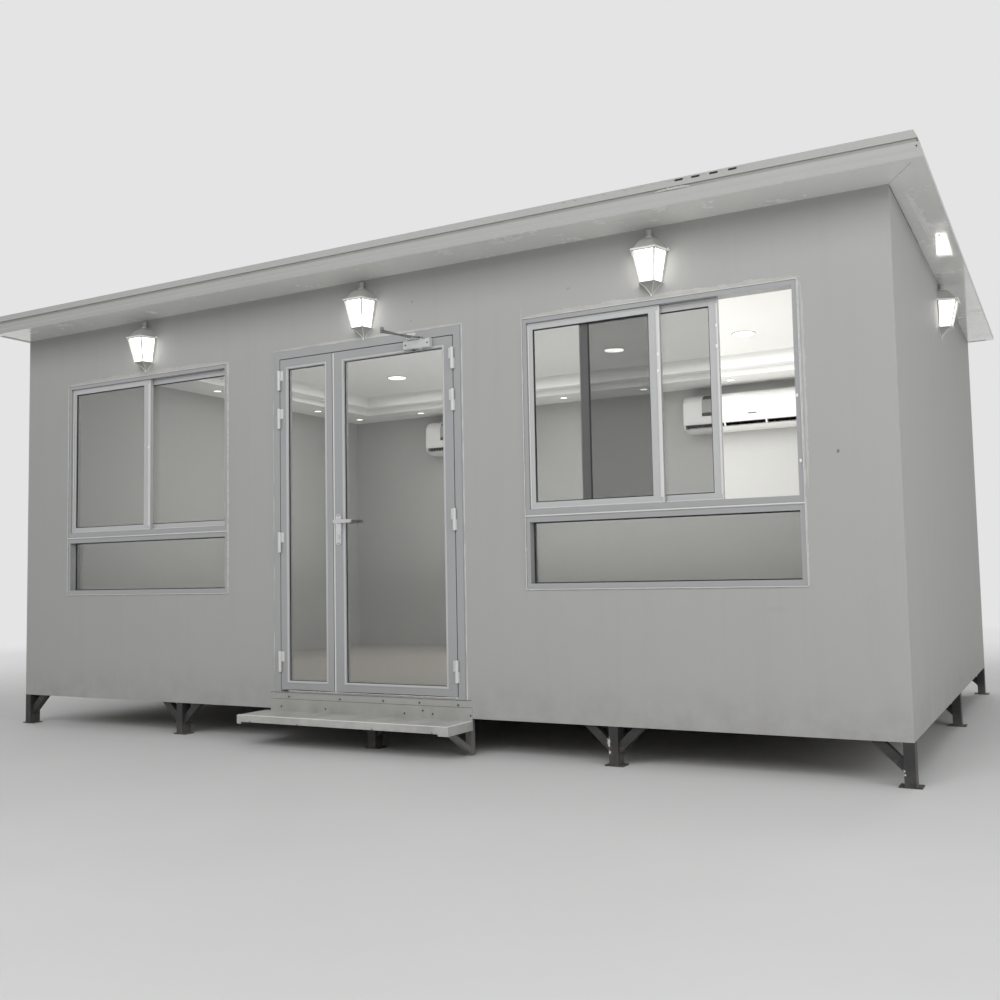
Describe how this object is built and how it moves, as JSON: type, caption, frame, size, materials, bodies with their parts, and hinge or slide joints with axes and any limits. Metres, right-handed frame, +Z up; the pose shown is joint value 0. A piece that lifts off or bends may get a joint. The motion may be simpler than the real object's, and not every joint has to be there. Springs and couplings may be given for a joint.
{
  "type": "security guard booth",
  "caption": "Portable cabin with a flat overhanging roof, a glazed double door, two sliding windows, wall lanterns and a front step, standing on short steel legs.",
  "frame": {"origin": "on the ground under the middle of the booth's box", "axes": "+X along the front to the right as seen from outside, +Y from the front to the back, +Z up. The doors are on the -Y side."},
  "size_m": [6.215, 4.304, 2.908],
  "materials": {
    "wall": "satin",
    "trim": "satin",
    "soffit": "gloss",
    "ceiling": "matt",
    "frame_steel": "matt",
    "floor": "satin",
    "door_frame": "satin",
    "glass": "clear",
    "fitting": "satin",
    "lantern_metal": "satin",
    "lantern_pane": "opal",
    "light": "opal",
    "unit_casing": "satin",
    "closer_arms": "satin"
  },
  "bodies": {
    "booth": {"base_frame": "frame_steel", "floor_joists": "frame_steel", "floor_board": "floor", "front_legs": "frame_steel", "middle_legs": "frame_steel", "back_legs": "frame_steel", "front_wall_left": "wall", "front_wall_right": "wall", "front_wall_over_door": "wall", "back_wall": "wall", "left_wall": "wall", "right_wall": "wall", "roof_deck": "trim", "soffit": "soffit", "front_fascia": "trim", "right_fascia": "trim", "plain_edge_trim": "trim", "ceiling_border": "ceiling", "ceiling_centre": "ceiling", "ceiling_lights": "light", "door_frame": "door_frame", "door_cover_strips": "wall", "step_tread": "trim", "step_brackets": "trim", "frame_hinges": "fitting", "closer_bracket": "fitting", "left_window_frame": "door_frame", "left_window_sashes": "door_frame", "right_window_frame": "door_frame", "right_window_sashes": "door_frame", "window_glass": "glass", "lantern_cages": "lantern_metal", "lantern_panes": "lantern_pane", "indoor_units": "unit_casing"},
    "narrow_leaf": {"narrow_leaf_frame": "door_frame", "narrow_leaf_glass": "glass", "narrow_leaf_hinges": "fitting"},
    "wide_leaf": {"wide_leaf_frame": "door_frame", "wide_leaf_glass": "glass", "wide_leaf_hinges": "fitting", "lock_plates": "fitting", "closer_body": "fitting"},
    "lever": {"door_lever": "fitting"},
    "closer_arm_body": {"closer_arm": "closer_arms"},
    "closer_forearm_body": {"closer_forearm": "closer_arms"}
  },
  "joints": [
    {"name": "narrow_leaf_hinge", "type": "hinge", "parent": "booth", "child": "narrow_leaf", "pos_m": [-0.715, -1.8845, 0.303], "axis": [0, 0, -1], "range_deg": [0, 110]},
    {"name": "wide_leaf_hinge", "type": "hinge", "parent": "booth", "child": "wide_leaf", "pos_m": [0.547, -1.8845, 0.303], "axis": [0, 0, 1], "range_deg": [0, 100], "stiffness_Nm_per_rad": 8, "springref_deg": -28.65},
    {"name": "lever_turn", "type": "hinge", "parent": "wide_leaf", "child": "lever", "pos_m": [-0.2655, -1.874, 1.328], "axis": [0, 1, 0], "range_deg": [0, 40], "stiffness_Nm_per_rad": 1.5, "springref_deg": -28.65},
    {"name": "closer_arm_turn", "type": "hinge", "parent": "wide_leaf", "child": "closer_arm_body", "pos_m": [0.349, -1.895, 2.355], "axis": [0, 0, 1], "range_deg": [-156, 0]},
    {"name": "closer_forearm_turn", "type": "hinge", "parent": "booth", "child": "closer_forearm_body", "pos_m": [0.269, -1.898, 2.375], "axis": [0, 0, 1], "range_deg": [0, 25]}
  ],
  "couplings": [
    {"joint": "closer_arm_turn", "follows": "wide_leaf_hinge", "ratio": -1.5506},
    {"joint": "closer_forearm_turn", "follows": "wide_leaf_hinge", "ratio": 0.2403}
  ]
}
